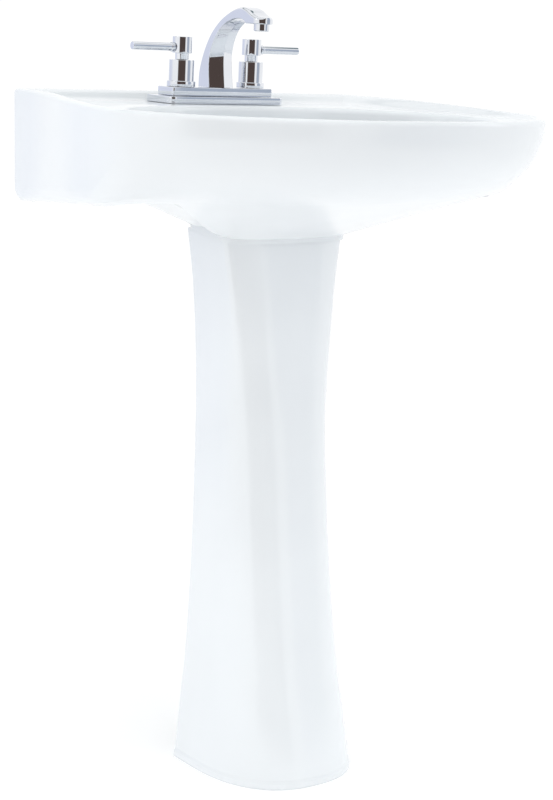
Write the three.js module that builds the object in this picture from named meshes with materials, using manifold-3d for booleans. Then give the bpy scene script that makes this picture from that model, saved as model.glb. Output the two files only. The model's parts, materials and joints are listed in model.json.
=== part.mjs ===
// Pedestal sink: glazed china basin on a china pedestal, with a 4 inch centreset faucet
// (two quarter-turn lever handles, arched spout) and a push-type pop-up drain.
// Millimetres, +Z up, +Y towards the wall, +X to the user's right when facing the wall.
// The part's origin is on the floor, below the centre of the overall box.
// Every piece is placed from the faucet point: the middle of the faucet on the deck.

import * as THREE from 'three';
import { mergeVertices } from 'three/addons/utils/BufferGeometryUtils.js';
import Module from 'manifold-3d';

const wasm = await Module();
wasm.setup();

// ---------------------------------------------------------------- driving dimensions

// basin, seen from above
const basinWidth = 580;
const basinDepth = 462;
const backWidth = 492;
const wallBehindFaucet = 57;
const widestBehindFront = 188;
const frontPower = 2.1;

// basin, heights
const deckHeight = 796;
const deckTilt = THREE.MathUtils.degToRad(2.34);
const rimRise = 6;
const backRise = 5.3;
const edgeRadius = 6;
const deckThickness = 14;
const skirtWall = 11;

// bowl
const bowlHalfWidth = 232;
const bowlBack = -54;
const bowlFrontMargin = 40;
const bowlDepth = 115;
const bowlFloorRadius = 36;
const bowlWall = 11;
const bowlRimRadius = 7;

// neck of the basin and head of the pedestal
const columnY = -120;
const headHalfWidth = 85;
const headFront = 46;
const headBack = 50;
const neckOverhang = 4;
const seatBack = -143;
const seatSlope = 0.138;
const chinaWall = 12;

// drain
const drainY = -115;
const drainHoleRadius = 22.5;

// faucet
const handleSpacing = 101.6;
const lowerTier = { length: 165, width: 59.4, bottom: 0.4, top: 8.6 };
const upperTier = { length: 145.2, width: 35.6, bottom: 8.9, top: 19.2 };
const hubTop = 78.3;
const leverHeight = 65.75;
const leverReach = 70.1;

// clearance left between pieces that meet
const gap = 0.3;

const faucetY = basinDepth / 2 - wallBehindFaucet;
const frontY = wallBehindFaucet - basinDepth;
const widestY = frontY + widestBehindFront;
const tiltSlope = Math.tan(deckTilt);

// ---------------------------------------------------------------- materials

function finish(name, color, roughness, metalness) {
  return new THREE.MeshStandardMaterial({ name, color, roughness, metalness });
}

const china = finish('glazed_china', 0xf3f5f6, 0.12, 0);
const chrome = finish('chrome', 0xd9dde0, 0.06, 1);
const brass = finish('brass', 0xb99a55, 0.35, 1);
const steel = finish('steel', 0xa9adb0, 0.3, 1);
const rubber = finish('rubber', 0x2b2b2b, 0.8, 0);
const plastic = finish('white_plastic', 0xe2e2de, 0.5, 0);

// ---------------------------------------------------------------- shape helpers

const smooth = (t) => {
  const c = Math.min(1, Math.max(0, t));
  return c * c * (3 - 2 * c);
};
const lerp = THREE.MathUtils.lerp;

function solidOf(geometry) {
  const bare = geometry.clone();
  bare.deleteAttribute('normal');
  bare.deleteAttribute('uv');
  const merged = mergeVertices(bare, 1e-4);
  return new wasm.Manifold(new wasm.Mesh({
    numProp: 3,
    vertProperties: new Float32Array(merged.attributes.position.array),
    triVerts: new Uint32Array(merged.index.array),
  }));
}

function geometryOf(solid) {
  const mesh = solid.getMesh();
  const geometry = new THREE.BufferGeometry();
  geometry.setAttribute('position', new THREE.BufferAttribute(new Float32Array(mesh.vertProperties), 3));
  geometry.setIndex(new THREE.BufferAttribute(new Uint32Array(mesh.triVerts), 1));
  geometry.computeVertexNormals();
  return geometry;
}

function cut(geometry, ...tools) {
  let solid = solidOf(geometry);
  for (const tool of tools) solid = solid.subtract(solidOf(tool));
  return geometryOf(solid);
}

function join(...geometries) {
  let solid = solidOf(geometries[0]);
  for (const other of geometries.slice(1)) solid = solid.add(solidOf(other));
  return geometryOf(solid);
}

// a closed skin through rings of points; the first and last rings are closed by a fan
function loft(rings) {
  const count = rings[0].length;
  const points = rings.flat();
  const index = [];
  for (let r = 0; r + 1 < rings.length; r++) {
    for (let i = 0; i < count; i++) {
      const j = (i + 1) % count;
      const a = r * count;
      const b = a + count;
      index.push(a + i, a + j, b + j, a + i, b + j, b + i);
    }
  }
  const last = (rings.length - 1) * count;
  for (const [start, flip] of [[0, true], [last, false]]) {
    const centre = new THREE.Vector3();
    for (let i = 0; i < count; i++) centre.addScaledVector(points[start + i], 1 / count);
    points.push(centre);
    const hub = points.length - 1;
    for (let i = 0; i < count; i++) {
      const j = (i + 1) % count;
      if (flip) index.push(hub, start + j, start + i);
      else index.push(hub, start + i, start + j);
    }
  }
  const geometry = new THREE.BufferGeometry().setFromPoints(points);
  geometry.setIndex(index);
  geometry.computeVertexNormals();
  return geometry;
}

// a body turned about Z from [radius, height] pairs
function turned(profile, segments = 24) {
  const points = profile.map(([radius, height]) => new THREE.Vector2(radius, height));
  return new THREE.LatheGeometry(points, segments).rotateX(Math.PI / 2);
}

// a turned ring with a bore: the outside profile runs from the bottom to the top
function ring(bore, outside, segments = 24) {
  const [low, high] = [outside[0][1], outside.at(-1)[1]];
  return turned([[bore, low], ...outside, [bore, high], [bore, low]], segments);
}

function rod(radius, low, high, segments = 20) {
  return turned([[0, low], [radius, low], [radius, high], [0, high]], segments);
}

function at(geometry, x, y, z) {
  return geometry.translate(x, y, z);
}

function roundedRectangle(length, width, radius) {
  const [x, y] = [length / 2, width / 2];
  const shape = new THREE.Shape();
  shape.moveTo(-x + radius, -y);
  shape.lineTo(x - radius, -y);
  shape.absarc(x - radius, -y + radius, radius, -Math.PI / 2, 0);
  shape.lineTo(x, y - radius);
  shape.absarc(x - radius, y - radius, radius, 0, Math.PI / 2);
  shape.lineTo(-x + radius, y);
  shape.absarc(-x + radius, y - radius, radius, Math.PI / 2, Math.PI);
  shape.lineTo(-x, -y + radius);
  shape.absarc(-x + radius, -y + radius, radius, Math.PI, 1.5 * Math.PI);
  return shape;
}

// a plate with its long edges rounded by the bevel
function plate(length, width, corner, low, high, bevel) {
  const shape = roundedRectangle(length - 2 * bevel, width - 2 * bevel, corner);
  const geometry = new THREE.ExtrudeGeometry(shape, {
    depth: high - low - 2 * bevel,
    bevelEnabled: bevel > 0,
    bevelThickness: bevel,
    bevelSize: bevel,
    bevelSegments: 2,
    curveSegments: 3,
  });
  return at(geometry, 0, 0, low + bevel);
}

// ---------------------------------------------------------------- basin outline

// half width of the basin at distance y from the faucet, behind its widest place
function sideHalfWidth(y) {
  const t = (wallBehindFaucet - y) / (wallBehindFaucet - widestY);
  return lerp(backWidth / 2, basinWidth / 2, smooth(t));
}

// the outline from the front centre round the right side to the back centre, then mirrored
function basinOutline(frontSteps = 14, sideSteps = 9, backSteps = 3) {
  const overrun = 8;
  const half = [];
  for (let i = 0; i < frontSteps; i++) {
    const angle = (i / frontSteps) * (Math.PI / 2);
    const x = (basinWidth / 2) * Math.sin(angle) ** (2 / frontPower);
    const y = widestY - widestBehindFront * Math.cos(angle) ** (2 / frontPower);
    half.push([x, y]);
  }
  for (let i = 0; i <= sideSteps; i++) {
    const y = lerp(widestY, wallBehindFaucet, i / sideSteps);
    half.push([sideHalfWidth(y), y]);
  }
  for (let i = 0; i <= backSteps; i++) {
    half.push([(backWidth / 2) * (1 - i / backSteps), wallBehindFaucet + overrun]);
  }
  const mirrored = half.slice(1, -1).reverse().map(([x, y]) => [-x, y]);
  return [...half, ...mirrored];
}

const deckZ = (y) => tiltSlope * y;

// height of the rim: a low lip all round, rising along the sides to the back ledge
function rimZ(y) {
  const wing = smooth((y + 255) / 232);
  return deckZ(y) + rimRise + backRise * wing;
}

// height of the side skirt's lower edge
const skirtZ = (y) => -117 - 0.085 * y;

// height of the seat where the basin rests on the pedestal
const seatZ = (y) => seatBack + seatSlope * (y + 70);

// distance from (0, centreY) to a superellipse in the direction of (dx, dy)
function superRadius(dx, dy, halfX, halfY, power) {
  const length = Math.hypot(dx, dy);
  const a = Math.abs(dx / length) / halfX;
  const b = Math.abs(dy / length) / halfY;
  return (a ** power + b ** power) ** (-1 / power);
}

// the neck's outline, grown by a margin, in the direction of the given outline point
function neckPoint([x, y], margin = 0) {
  const dy = y - columnY;
  const front = dy < 0;
  const halfX = headHalfWidth + margin;
  const halfY = (front ? headFront : headBack) + margin;
  const radius = superRadius(x, dy, halfX, halfY, front ? 4 : 6);
  const length = Math.hypot(x, dy);
  return [(x / length) * radius, columnY + (dy / length) * radius];
}

const bowlFront = frontY + bowlFrontMargin;
const bowlCentreY = (bowlBack + bowlFront) / 2;
const bowlHalfDepth = (bowlBack - bowlFront) / 2;

// the bowl's opening, grown by a margin, in the direction of the given outline point
function bowlPoint([x, y], margin = 0) {
  const dy = y - bowlCentreY;
  const radius = superRadius(x, dy, bowlHalfWidth + margin, bowlHalfDepth + margin, 2.2);
  const length = Math.hypot(x, dy);
  return [(x / length) * radius, bowlCentreY + (dy / length) * radius];
}

// one ring of the bowl: size runs from 1 at the deck to 0 at the flat floor round the drain
function bowlRing(outline, size, margin = 0) {
  const depth = (bowlDepth + margin) * Math.sqrt(1 - size * size);
  return outline.map((point) => {
    const [bx, by] = bowlPoint(point, margin);
    const floorScale = (bowlFloorRadius + margin) / Math.hypot(bx, by - drainY);
    const x = lerp(bx * floorScale, bx, size);
    const y = drainY + lerp((by - drainY) * floorScale, by - drainY, size);
    return new THREE.Vector3(x, y, lerp(deckZ(drainY), deckZ(y), size) - depth);
  });
}

// ---------------------------------------------------------------- basin

// how far in (a) and how far down (b) the outside runs from the rim to the neck:
// upright beside the wall, round-shouldered at the sides and front
function hullProfile(y, steps) {
  const upright = smooth((y + 320) / 130);
  const drop = rimZ(y) - seatZ(columnY);
  const skirtCorner = (rimZ(y) - skirtZ(y)) / drop;
  const corner = lerp(0.467, skirtCorner, upright);
  const start = lerp(0.05, corner - 0.08, upright);
  const end = lerp(0.3, 0.045, upright);
  const taper = 0.02;
  const line = (a) => corner + (1 - corner) * a;
  const bend = new THREE.QuadraticBezierCurve(
    new THREE.Vector2(0, start),
    new THREE.Vector2(taper, line(taper)),
    new THREE.Vector2(end, line(end)),
  );
  return bend.getPoints(steps);
}

// a point of the outside: share a of the way from the rim to the neck, and share b down
function hullPoint(point, { x: a, y: b }) {
  const [nx, ny] = neckPoint(point, neckOverhang);
  const z = lerp(rimZ(point[1]), seatZ(ny), b);
  return new THREE.Vector3(lerp(point[0], nx, a), lerp(point[1], ny, a), z);
}

function basinShell() {
  const outline = basinOutline();
  const rings = [];
  for (const degrees of [90, 80, 68, 56, 45, 35, 26, 17, 9]) {
    rings.push(bowlRing(outline, Math.cos(THREE.MathUtils.degToRad(degrees))));
  }
  // rounded edge of the bowl
  for (const [grow, sink] of [[0, bowlRimRadius], [0.3 * bowlRimRadius, 0.3 * bowlRimRadius], [bowlRimRadius, 0]]) {
    rings.push(outline.map((point) => {
      const [x, y] = bowlPoint(point, grow);
      return new THREE.Vector3(x, y, deckZ(y) - sink);
    }));
  }
  // deck, then the slope up to the rim, then the rounded outer edge
  for (const fraction of [0.45, 0.72, 0.79, 0.86, 0.94]) {
    rings.push(outline.map((point) => {
      const [bx, by] = bowlPoint(point, bowlRimRadius);
      const x = lerp(bx, point[0], fraction);
      const y = lerp(by, point[1], fraction);
      const rise = smooth((fraction - 0.72) / 0.22) * (rimZ(point[1]) - deckZ(point[1]));
      return new THREE.Vector3(x, y, deckZ(y) + rise);
    }));
  }
  for (const degrees of [60, 30, 0]) {
    const angle = THREE.MathUtils.degToRad(degrees);
    const inset = edgeRadius * (1 - Math.cos(angle));
    rings.push(outline.map((point) => {
      const [bx, by] = bowlPoint(point);
      const t = inset / Math.hypot(point[0] - bx, point[1] - by);
      const z = rimZ(point[1]) - edgeRadius * (1 - Math.sin(angle));
      return new THREE.Vector3(lerp(point[0], bx, t), lerp(point[1], by, t), z);
    }));
  }
  const shoulders = outline.map(([, y]) => hullProfile(y, 5));
  for (let j = 0; j < shoulders[0].length; j++) {
    rings.push(outline.map((point, i) => hullPoint(point, shoulders[i][j])));
  }
  const lip = 0.965;
  rings.push(outline.map((point, i) => {
    const edge = shoulders[i].at(-1);
    return hullPoint(point, edge.clone().lerp(new THREE.Vector2(1, lip), 0.5));
  }));
  for (const b of [lip, 1]) {
    rings.push(outline.map((point) => hullPoint(point, new THREE.Vector2(1, b))));
  }
  return loft(rings.reverse());
}

// the space inside the shoulders and the back wall, open at the bottom
function rearPocket() {
  const outline = basinOutline(9, 6, 2);
  const inset = (vector) => {
    const length = Math.hypot(vector.x, vector.y - columnY);
    const t = (skirtWall * 1.15) / length;
    const y = Math.min(lerp(vector.y, columnY, t), wallBehindFaucet - skirtWall);
    return new THREE.Vector3(lerp(vector.x, 0, t), y, vector.z);
  };
  const shoulders = outline.map(([, y]) => hullProfile(y, 4));
  const rings = [outline.map(([x, y]) => inset(new THREE.Vector3(x, y, deckZ(y) - deckThickness)))];
  for (const j of [0, 2, 3, 4]) {
    rings.push(outline.map((point, i) => {
      const place = inset(hullPoint(point, shoulders[i][j]));
      place.z = Math.min(place.z, deckZ(point[1]) - deckThickness - j - 1);
      return place;
    }));
  }
  rings.push(rings.at(-1).map(({ x, y }) => new THREE.Vector3(x, y, -200)));
  return solidOf(loft(rings.reverse())).intersect(solidOf(openZone()));
}

// the zone behind the neck where the underside is open, seen from above
function openZone() {
  const [neckX, neckY] = [86, -141];
  const [farX, farY] = [330, -346];
  const back = 100;
  const shape = new THREE.Shape([
    [0, -100], [neckX, neckY], [farX, farY], [farX, back], [-farX, back], [-farX, farY], [-neckX, neckY],
  ].map(([x, y]) => new THREE.Vector2(x, y)));
  return at(new THREE.ExtrudeGeometry(shape, { depth: 300, bevelEnabled: false }), 0, 0, -250);
}

// the bowl's outer skin and the flare that carries it down to the neck
function bowlAndNeck() {
  const outline = basinOutline(9, 4, 2);
  const bowlRings = [90, 72, 54, 38, 24, 12].map((degrees) => (
    bowlRing(outline, Math.cos(THREE.MathUtils.degToRad(degrees)), bowlWall)
  ));
  bowlRings.push(outline.map((point) => {
    const [x, y] = bowlPoint(point, bowlWall);
    return new THREE.Vector3(x, y, 20);
  }));
  const flare = [[0, -180], [0, -140], [14, -132], [44, -117], [86, -97], [98, -70]];
  const flareBack = -27;
  const neckRings = flare.map(([margin, z]) => outline.map((point) => {
    const behind = smooth((point[1] - columnY - 0.8 * Math.abs(point[0])) / 100);
    const [x, y] = neckPoint(point, neckOverhang + margin * lerp(1, 0.4, behind));
    return new THREE.Vector3(x, Math.min(y, flareBack), z);
  }));
  return solidOf(loft(bowlRings)).add(solidOf(loft(neckRings)));
}

// hollow inside the neck, round the drain
function neckHollow() {
  const outline = basinOutline(7, 3, 2);
  const rings = [-190, -134].map((z) => outline.map((point) => {
    const [x, y] = neckPoint(point, -chinaWall);
    return new THREE.Vector3(x, y, z);
  }));
  return loft(rings);
}

// the overflow passage runs inside the front wall, from the bowl down to the drain
function overflowPassage() {
  const path = new THREE.CatmullRomCurve3([
    new THREE.Vector3(0, -322, -46),
    new THREE.Vector3(0, -348, -60),
    new THREE.Vector3(0, -338, -84),
    new THREE.Vector3(0, -290, -106),
    new THREE.Vector3(0, -220, -127),
    new THREE.Vector3(0, -160, -131),
    new THREE.Vector3(0, -128, -128),
  ]);
  const section = new THREE.Shape();
  section.absarc(0, 0, 4.5, 0, 2 * Math.PI);
  return new THREE.ExtrudeGeometry(section, { steps: 16, curveSegments: 4, extrudePath: path });
}

// takes the square corner off the back wall's lower edge
function lowerBackCorner() {
  const radius = 15;
  const [y, z] = [wallBehindFaucet - radius, skirtZ(wallBehindFaucet) + radius];
  const block = at(new THREE.BoxGeometry(600, 2 * radius, 2 * radius), 0, y + radius, z - radius);
  return cut(block, at(rod(radius, -310, 310, 24).rotateY(Math.PI / 2), 0, y, z));
}

function basin() {
  const far = 400;
  const wallCut = at(new THREE.BoxGeometry(2 * far, 60, far), 0, wallBehindFaucet + 30, 0);
  const window = at(new THREE.BoxGeometry(220, 60, 120), 0, wallBehindFaucet, -115);
  const pocket = rearPocket().subtract(bowlAndNeck());
  let solid = solidOf(basinShell()).subtract(pocket);
  const tools = [wallCut, window, lowerBackCorner(), neckHollow(), overflowPassage()];
  tools.push(at(rod(drainHoleRadius, -160, -90), 0, drainY, 0));
  for (const x of [-handleSpacing / 2, 0, handleSpacing / 2]) {
    tools.push(at(rod(15, -40, 20), x, 0, 0).rotateX(deckTilt));
  }
  for (const side of [-1, 1]) {
    tools.push(at(rod(6, -20, 20, 16).rotateX(Math.PI / 2), side * 150, wallBehindFaucet, -48));
  }
  for (const tool of tools) solid = solid.subtract(solidOf(tool));
  return geometryOf(largestPiece(solid));
}

function largestPiece(solid) {
  const pieces = solid.decompose();
  return pieces.reduce((best, piece) => (piece.volume() > best.volume() ? piece : best));
}

// ---------------------------------------------------------------- pedestal

// stations from the floor up: share of the height, half width, front reach, squareness
const stations = [
  [0, 94, 121, 2.4],
  [0.03, 92, 120, 2.4],
  [0.11, 87, 109, 2.5],
  [0.21, 80, 96, 2.6],
  [0.42, 72.5, 77, 2.6],
  [0.69, 69.5, 60, 2.6],
  [0.88, 75, 51, 3.6],
  [1, headHalfWidth, headFront, 4.5],
];

function columnSize(share) {
  const curves = [1, 2, 3].map((k) => new THREE.SplineCurve(
    stations.map((station) => new THREE.Vector2(station[0] * 100, station[k])),
  ));
  return curves.map((curve) => {
    let [low, high] = [0, 1];
    for (let i = 0; i < 24; i++) {
      const middle = (low + high) / 2;
      if (curve.getPoint(middle).x < share * 100) low = middle;
      else high = middle;
    }
    return curve.getPoint(low).y;
  });
}

// half of the open section, from the back edge along the side to the front centre
function columnPoints(share, inset) {
  const [halfWidth, front, power] = columnSize(share);
  const frontSteps = 12;
  const back = columnY + headBack;
  const points = [];
  for (const y of [back, lerp(back, columnY, 0.5)]) {
    points.push([halfWidth * 0.985 - inset, y]);
  }
  for (let i = 0; i <= frontSteps; i++) {
    const angle = (i / frontSteps) * (Math.PI / 2);
    const x = (halfWidth - inset) * Math.cos(angle) ** (2 / power);
    const y = columnY - (front - inset) * Math.sin(angle) ** (2 / power);
    points.push([x, y]);
  }
  return points;
}

function columnShell() {
  const shares = [0, 0.012, 0.018, 0.05, 0.11, 0.18, 0.26, 0.36, 0.5, 0.64, 0.76, 0.86, 0.94, 1];
  const topGap = 0.5;
  const rings = shares.map((share) => {
    const plinth = share < 0.015 ? 1.5 : 0;
    const whole = (inset) => {
      const right = columnPoints(share, inset);
      const left = right.slice(0, -1).reverse().map(([x, y]) => [-x, y]);
      return [...right, ...left];
    };
    const outside = whole(-plinth);
    const inside = whole(chinaWall).reverse();
    return [...outside, ...inside].map(([x, y]) => {
      const top = deckHeight + seatZ(y) - topGap;
      return new THREE.Vector3(x, y, share * top - deckHeight);
    });
  });
  return openSection(rings);
}

// a skin through rings that are each a thin open band: outside points, then inside points
function openSection(rings) {
  const count = rings[0].length;
  const points = rings.flat();
  const index = [];
  for (let r = 0; r + 1 < rings.length; r++) {
    for (let i = 0; i < count; i++) {
      const j = (i + 1) % count;
      const a = r * count;
      const b = a + count;
      index.push(a + i, b + j, a + j, a + i, b + i, b + j);
    }
  }
  const last = (rings.length - 1) * count;
  for (let i = 0; i + 1 < count / 2; i++) {
    const [inner, nextInner] = [count - 1 - i, count - 2 - i];
    index.push(i, i + 1, nextInner, i, nextInner, inner);
    index.push(last + i, last + nextInner, last + i + 1, last + i, last + inner, last + nextInner);
  }
  const geometry = new THREE.BufferGeometry().setFromPoints(points);
  geometry.setIndex(index);
  geometry.computeVertexNormals();
  return geometry;
}

function pedestal() {
  const ledge = at(new THREE.BoxGeometry(168, 46, 14), 0, columnY + 24, 7 - deckHeight);
  const boltHole = at(rod(6, -10, 30, 16), 0, columnY + 24, -deckHeight);
  return cut(join(columnShell(), ledge), boltHole);
}

// ---------------------------------------------------------------- faucet body

function deckGasket() {
  const sheet = plate(150, 51.6, 4, gap, 1.7, 0);
  const holes = [-1, 1].map((side) => at(rod(12, -2, 4), (side * handleSpacing) / 2, 0, 0));
  return cut(sheet, ...holes);
}

function basePlate() {
  const { length, width, bottom, top } = lowerTier;
  const body = plate(length, width, 6.4, bottom, top, 0.6);
  const gasketRecess = plate(length - 14, width - 7, 4, bottom - 2, 2, 0);
  const holes = [-1, 1].map((side) => at(rod(11, 0, 12), (side * handleSpacing) / 2, 0, 0));
  return cut(body, gasketRecess, ...holes);
}

function faucetBody() {
  const { length, width, bottom, top } = upperTier;
  const foot = plate(length - 4, width - 4, 1, bottom, bottom + 4, 0);
  const body = plate(length, width, 1, bottom + 2, top, 1.2);
  return join(foot, body);
}

// ---------------------------------------------------------------- spout

const aeratorY = -90.5;
const headHalfSpout = 13;

const sideCurve = (points) => new THREE.SplineCurve(points.map(([y, z]) => new THREE.Vector2(y, z)));

// side view of the spout's arch: the inner face and the outer crest, as (y, z) from the faucet point
const spoutInner = sideCurve([
  [-12, 19.5], [-9, 40], [-8.5, 57], [-13, 72], [-22, 86], [-35, 96], [-50, 101.5],
  [-63, 102.5], [-71, 100.5], [-76, 97],
]);
const spoutOuter = sideCurve([
  [15, 19.5], [14.5, 36], [10.5, 52], [4, 68], [-6, 84], [-21, 98.5], [-37, 108],
  [-52, 113.8], [-65, 115.8], [-76, 113.4],
]);
// the crest of the spout's head, from the arch to the round nose
const spoutCrest = sideCurve([[-76, 113.4], [-84, 109.8], [-90, 107], [-97, 105.3], [-103.5, 104.5]]);

// one section of the spout between an inner and an outer point of its side view: flat sides,
// two front faces that meet in a ridge of the given height, a crest with soft corners
function spoutSection(inner, outer, halfWidth, ridge) {
  const thickness = inner.distanceTo(outer);
  const point = (x, depth) => {
    const { x: y, y: z } = inner.clone().lerp(outer, depth / thickness);
    return new THREE.Vector3(x, y, z);
  };
  const half = [];
  const corners = [[1.5, 0], [4, thickness]].map(([radius, far]) => [Math.min(radius, halfWidth / 2), far]);
  const flatWidth = halfWidth - corners[0][0];
  for (const x of [0, 0.35, 0.7]) half.push([x * flatWidth, -ridge * (1 - x)]);
  for (const [corner, far] of corners) {
    for (const degrees of far ? [0, 45, 90] : [90, 45, 0]) {
      const angle = THREE.MathUtils.degToRad(degrees);
      const x = halfWidth - corner * (1 - Math.cos(angle));
      half.push([x, Math.abs(far - corner * (1 - Math.sin(angle)))]);
    }
  }
  half.push([0, thickness]);
  const mirrored = half.slice(1, -1).reverse().map(([x, depth]) => [-x, depth]);
  return [...half, ...mirrored].map(([x, depth]) => point(x, depth));
}

function spout() {
  const archSteps = 18;
  const rings = [];
  for (let i = 0; i <= archSteps; i++) {
    const share = i / archSteps;
    const halfWidth = lerp(17.5, headHalfSpout, smooth(share * 1.3));
    const ridge = lerp(6.5, 0.5, smooth(share * 1.2 - 0.2));
    rings.push(spoutSection(spoutInner.getPoint(share), spoutOuter.getPoint(share), halfWidth, ridge));
  }
  for (const y of [-83, aeratorY]) rings.push(headSection(y, headHalfSpout));
  for (const degrees of [25, 45, 60, 72, 80]) {
    const angle = THREE.MathUtils.degToRad(degrees);
    rings.push(headSection(aeratorY - headHalfSpout * Math.sin(angle), headHalfSpout * Math.cos(angle)));
  }
  const recess = at(rod(9.5, 80, 103.3), 0, aeratorY, 0);
  return cut(loft(rings), recess);
}

// an upright section of the spout's head, whose flat underside takes the aerator
function headSection(y, halfWidth) {
  const [back, nose] = [spoutCrest.points[0].x, spoutCrest.points.at(-1).x];
  const crest = spoutCrest.getPoint((y - back) / (nose - back)).y;
  return spoutSection(new THREE.Vector2(y, 97), new THREE.Vector2(y, crest), halfWidth, 0);
}

function aeratorHousing() {
  return at(ring(7.6, [[8.4, 88.7], [9.2, 89.5], [9.2, 103]], 28), 0, aeratorY, 0);
}

function aeratorInsert() {
  const disc = rod(7.3, 89.6, 96, 28);
  const holes = [rod(1, 88, 98, 8)];
  for (let i = 0; i < 6; i++) {
    const angle = (i / 6) * 2 * Math.PI;
    holes.push(at(rod(1.2, 88, 98, 8), 4.4 * Math.cos(angle), 4.4 * Math.sin(angle), 0));
  }
  return at(cut(disc, ...holes), 0, aeratorY, 0);
}

// ---------------------------------------------------------------- valves and handles

const valveFoot = upperTier.top + gap;
const bonnetTop = 51;
const neckTop = 58.8;
const screwHeight = 62.5;

function valveBonnet() {
  const outside = [
    [16.9, valveFoot], [17.4, valveFoot + 0.5], [17.4, 25.4], [16.9, 25.9],
    [15.25, 25.9], [15.25, bonnetTop - 0.5], [14.75, bonnetTop],
  ];
  return turned([[11.3, valveFoot], ...outside, [7.5, bonnetTop], [7.5, 47], [11.3, 47], [11.3, valveFoot]]);
}

function valveCartridge() {
  const body = turned([[0, valveFoot], [11, valveFoot], [11, 38], [8, 38], [8, 44], [0, 44]], 24);
  const ports = [-5, 5].map((x) => at(rod(2.5, 15, 30, 12), x, 0, 0));
  return cut(body, ...ports);
}

function valveStem() {
  const splines = 12;
  const shape = new THREE.Shape();
  for (let i = 0; i < 2 * splines; i++) {
    const angle = (i / (2 * splines)) * 2 * Math.PI;
    const radius = i % 2 ? 4.0 : 4.5;
    const point = [radius * Math.cos(angle), radius * Math.sin(angle)];
    if (i === 0) shape.moveTo(...point);
    else shape.lineTo(...point);
  }
  shape.closePath();
  const splined = new THREE.ExtrudeGeometry(shape, { depth: 17, bevelEnabled: false });
  return join(rod(5.2, 44.3, 50, 24), at(splined, 0, 0, 49.8));
}

function handleHub(side) {
  const hub = turned([
    [4.9, bonnetTop + gap], [8.3, bonnetTop + gap], [8.3, neckTop], [11.7, neckTop], [12, neckTop + 0.3],
    [12, hubTop - 0.6], [11.4, hubTop], [0, hubTop], [0, 70], [4.9, 70], [4.9, bonnetTop + gap],
  ]);
  const leverBore = at(rod(4.2, 5.8, 14, 20).rotateY((side * Math.PI) / 2), 0, 0, leverHeight);
  const screwBore = at(rod(2.2, 3, 14, 12).rotateX(-Math.PI / 2), 0, 0, screwHeight);
  return cut(hub, leverBore, screwBore);
}

function lever(side) {
  const tip = leverReach;
  const bar = turned([
    [0, 6.2], [3.8, 6.2], [3.8, 12.3], [5.4, 12.3], [5.7, 12.7], [5.7, 15.8], [4.8, 16.6],
    [4.8, tip - 2], [4.2, tip - 0.6], [3.2, tip], [0, tip],
  ], 20);
  return at(bar.rotateY((side * Math.PI) / 2), 0, 0, leverHeight);
}

function setScrew() {
  const screw = rod(1.9, 5.2, 11, 12);
  const socket = rod(1, 8.5, 12, 6);
  return at(cut(screw, socket).rotateX(-Math.PI / 2), 0, 0, screwHeight);
}

// ---------------------------------------------------------------- below the deck

const deckUnderside = -deckThickness;

function inletShank() {
  return ring(6, [[10.3, -58], [10.3, lowerTier.top]], 24);
}

function shankWasher() {
  return ring(10.7, [[20, deckUnderside - gap - 3], [20, deckUnderside - gap]], 24);
}

function shankNut() {
  const top = deckUnderside - 2 * gap - 3;
  const body = ring(10.7, [[15, top - 14], [15, top - 3], [18, top - 3], [18, top]], 24);
  const wings = [0, 1, 2, 3].map((i) => {
    const wing = at(new THREE.BoxGeometry(7, 3, 10), 16.5, 0, top - 8);
    return wing.rotateZ((i * Math.PI) / 2);
  });
  return join(body, ...wings);
}

// ---------------------------------------------------------------- drain

const bowlFloor = deckZ(drainY) - bowlDepth;
const drainUnderside = -134;
const flangeTop = bowlFloor + 3;

function drainFlange() {
  return turned([
    [15.5, bowlFloor - 9], [18, bowlFloor - 9], [18, bowlFloor + 1], [31, bowlFloor + 1],
    [31, bowlFloor + 1.8], [27, flangeTop], [20, flangeTop], [17, flangeTop - 2.5],
    [15.5, flangeTop - 4], [15.5, bowlFloor - 9],
  ]);
}

function drainBody() {
  const tube = turned([
    [16.3, -176], [18.5, -176], [18.5, -162], [20.5, -160], [20.5, bowlFloor + 0.7],
    [18.4, bowlFloor + 0.7], [18.4, -158], [16.3, -161], [16.3, -176],
  ]);
  const slots = [-1, 1].map((side) => at(new THREE.BoxGeometry(12, 12, 5), 0, side * 20, -129.5));
  return cut(tube, ...slots);
}

function drainGasket() {
  const top = drainUnderside - gap;
  return ring(20.9, [[28, top - 5], [26, top]], 28);
}

function drainWasher() {
  const top = drainUnderside - gap - 5 - gap;
  return ring(20.9, [[27.5, top - 1.5], [27.5, top]], 28);
}

function drainNut() {
  const top = drainUnderside - 3 * gap - 6.5;
  const hexagon = turned([[0, top - 8], [29, top - 8], [29, top], [0, top]], 6);
  return cut(hexagon, rod(20.9, top - 10, top + 2, 28));
}

function tailpiece() {
  return ring(14.7, [[15.9, -318], [15.9, -162]], 28);
}

function stopperGuide() {
  const hub = ring(4.4, [[7, -152], [7, -146]], 20);
  const arms = [0, 1, 2].map((i) => (
    at(new THREE.BoxGeometry(12, 3, 6), 11.9, 0, -149).rotateZ((i * 2 * Math.PI) / 3)
  ));
  return join(hub, ...arms);
}

function stopper() {
  const seat = flangeTop + gap;
  return turned([
    [0, -164], [3.5, -164], [4, -163], [4, seat - 6], [12, seat - 5], [12, seat - 1], [13.2, seat - 1],
    [13.2, seat], [19, seat], [19.4, seat + 1.2], [17, seat + 2.6], [10, seat + 3.8], [0, seat + 4.2],
  ]);
}

function stopperSeal() {
  const seat = flangeTop + gap;
  return ring(12.4, [[14.6, seat - 3.4], [14.6, seat - gap - 1]], 24);
}

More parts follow.
